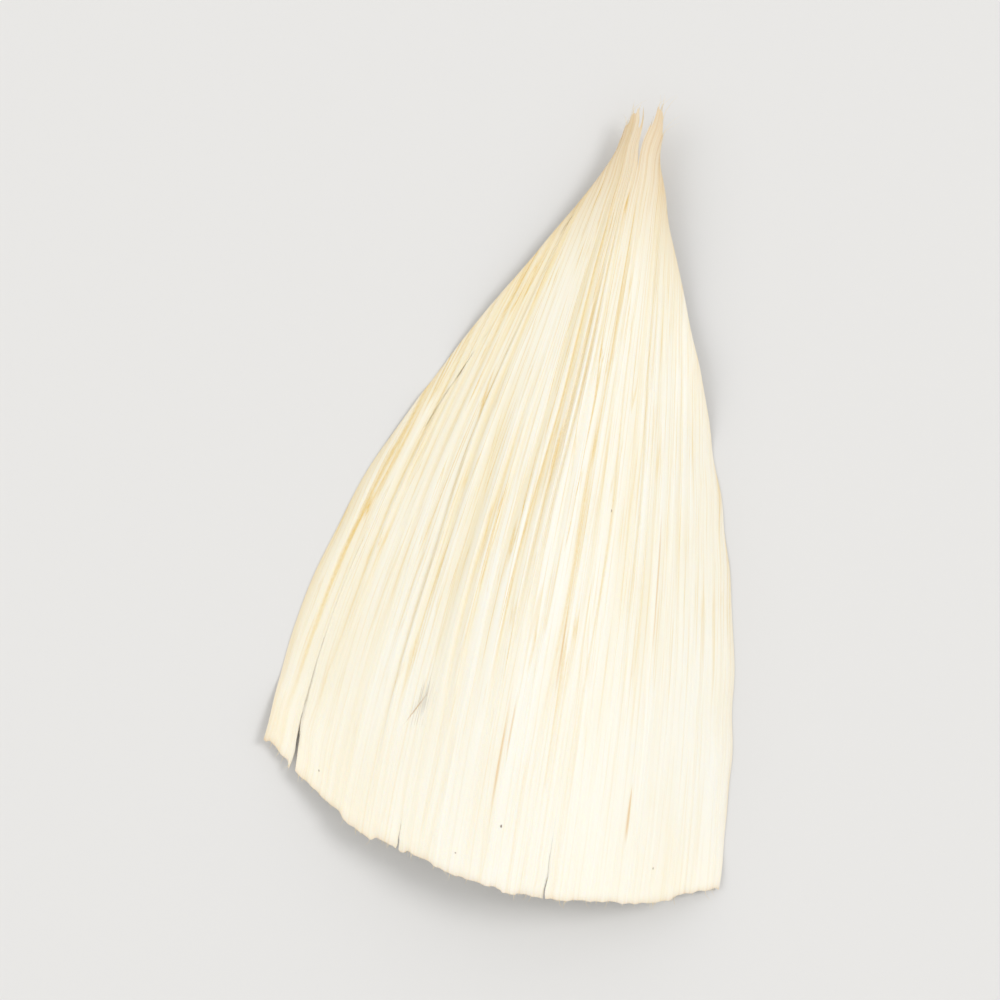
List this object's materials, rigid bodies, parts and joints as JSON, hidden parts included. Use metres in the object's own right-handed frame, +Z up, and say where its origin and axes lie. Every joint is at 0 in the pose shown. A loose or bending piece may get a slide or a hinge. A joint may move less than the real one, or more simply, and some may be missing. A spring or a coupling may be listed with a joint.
{
  "type": "dried corn husk",
  "caption": "Single dried corn husk leaf: a thin ribbed fan with an arched back, cut across its wide end and drawn out to a split tip, for wrapping food or for crafts.",
  "frame": {"origin": "on the surface that the husk lies on, under the middle of its outline", "axes": "+Y from the cut end to the tip, +X to the right as seen from above, +Z up out of the rounded back"},
  "size_m": [0.122, 0.2128, 0.0227],
  "materials": {
    "husk": "matt dry leaf, pale ivory to cream, with fine lengthwise ribs and tan streaks"
  },
  "bodies": {
    "root": {"husk": "husk"}
  },
  "joints": []
}
